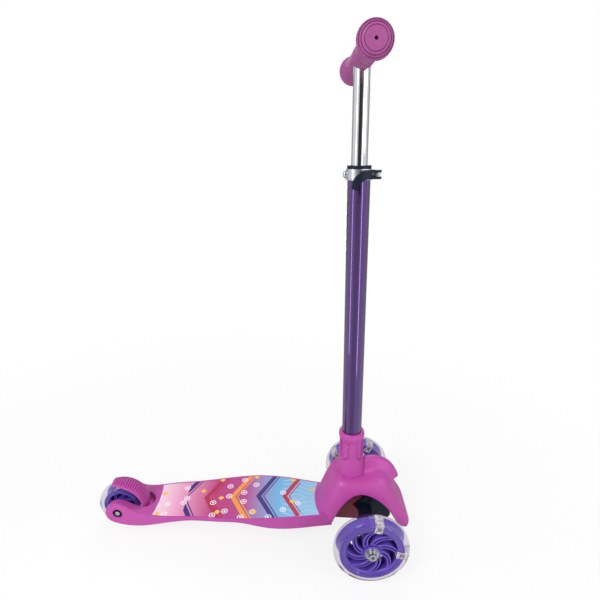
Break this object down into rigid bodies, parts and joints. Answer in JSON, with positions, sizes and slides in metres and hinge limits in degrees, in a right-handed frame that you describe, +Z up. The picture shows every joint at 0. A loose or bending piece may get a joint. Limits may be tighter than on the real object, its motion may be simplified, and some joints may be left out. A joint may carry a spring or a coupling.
{
  "type": "kick scooter",
  "caption": "Child's lean-to-steer kick scooter with a T-shaped handlebar, a quick-release height clamp, lit front wheels on a leaning truck and a foot brake over the rear wheel.",
  "frame": {"origin": "on the ground, at the middle of the scooter's length and width", "axes": "+X forward, +Y to the rider's left, +Z up"},
  "size_m": [0.5411, 0.2378, 0.7821],
  "materials": {
    "body_pink": "satin moulded plastic",
    "head_red": "satin moulded plastic",
    "grip_pink": "soft matte",
    "print": "printed film",
    "tube_purple": "metallic anodised",
    "chrome": "polished",
    "hub_purple": "moulded",
    "clear_tyre": "clear cast polyurethane",
    "navy": "satin moulded plastic",
    "silver": "satin",
    "steel": "zinc plated",
    "led_case": "translucent moulding",
    "bushing": "matte"
  },
  "bodies": {
    "deck": {"deck": "body_pink", "deck_film": "print", "steering_head": "head_red", "head_screws": "steel", "front_cover": "body_pink", "collar": "body_pink", "lower_tube": "tube_purple", "tube_bush": "navy", "clamp_band": "silver", "clamp_skewer": "steel", "clamp_nut": "steel", "kingpin": "steel", "kingpin_nut": "steel", "truck_bushing": "bushing", "rear_axle": "steel", "rear_nut": "steel", "rear_sleeves": "steel", "rear_spacer": "steel", "brake_pin": "steel"},
    "t_bar": {"stem": "chrome", "crossbar": "chrome", "stem_guide": "navy", "grip_left": "grip_pink", "grip_right": "grip_pink", "bar_saddle": "grip_pink", "button_spring": "steel"},
    "snap_button": {"snap_button": "silver"},
    "clamp_lever": {"clamp_lever": "navy"},
    "truck": {"truck": "navy", "front_axle_left": "steel", "front_axle_right": "steel", "front_washer_left": "steel", "front_washer_right": "steel", "front_spacer_left": "steel", "front_spacer_right": "steel"},
    "front_wheel_left": {"front_tyre_left": "clear_tyre", "front_hub_left": "hub_purple", "front_lights_left": "led_case", "front_bearings_left": "steel"},
    "front_wheel_right": {"front_tyre_right": "clear_tyre", "front_hub_right": "hub_purple", "front_lights_right": "led_case", "front_bearings_right": "steel"},
    "rear_wheel": {"rear_tyre": "clear_tyre", "rear_hub": "hub_purple", "rear_bearings": "steel"},
    "brake": {"brake_pedal": "body_pink"}
  },
  "joints": [
    {"name": "bar_height", "type": "slide", "parent": "deck", "child": "t_bar", "axis": [-0.057, 0, 0.9984], "range_m": [-0.108, 0]},
    {"name": "button_press", "type": "slide", "parent": "t_bar", "child": "snap_button", "axis": [0.9984, 0, 0.057], "range_m": [0, 0.0111], "stiffness_N_per_m": 800, "springref_m": -0.004, "deforming": ["button_spring"]},
    {"name": "lever_open", "type": "hinge", "parent": "deck", "child": "clamp_lever", "pos_m": [0.16331, -0.0118, 0.61982], "axis": [-0.057, 0, 0.9984], "range_deg": [0, 100]},
    {"name": "truck_steer", "type": "hinge", "parent": "deck", "child": "truck", "pos_m": [0.1945, 0, 0.06], "axis": [0.7071, 0, 0.7071], "range_deg": [-15, 15], "stiffness_Nm_per_rad": 40},
    {"name": "front_left_spin", "type": "hinge", "parent": "truck", "child": "front_wheel_left", "pos_m": [0.1945, 0.1, 0.06], "axis": [0, 1, 0], "continuous": true},
    {"name": "front_right_spin", "type": "hinge", "parent": "truck", "child": "front_wheel_right", "pos_m": [0.1945, -0.1, 0.06], "axis": [0, 1, 0], "continuous": true},
    {"name": "rear_spin", "type": "hinge", "parent": "deck", "child": "rear_wheel", "pos_m": [-0.2305, 0, 0.04], "axis": [0, 1, 0], "continuous": true},
    {"name": "brake_press", "type": "hinge", "parent": "deck", "child": "brake", "pos_m": [-0.183, 0, 0.035], "axis": [0, -1, 0], "range_deg": [0, 3], "stiffness_Nm_per_rad": 6, "springref_deg": -5.73}
  ]
}
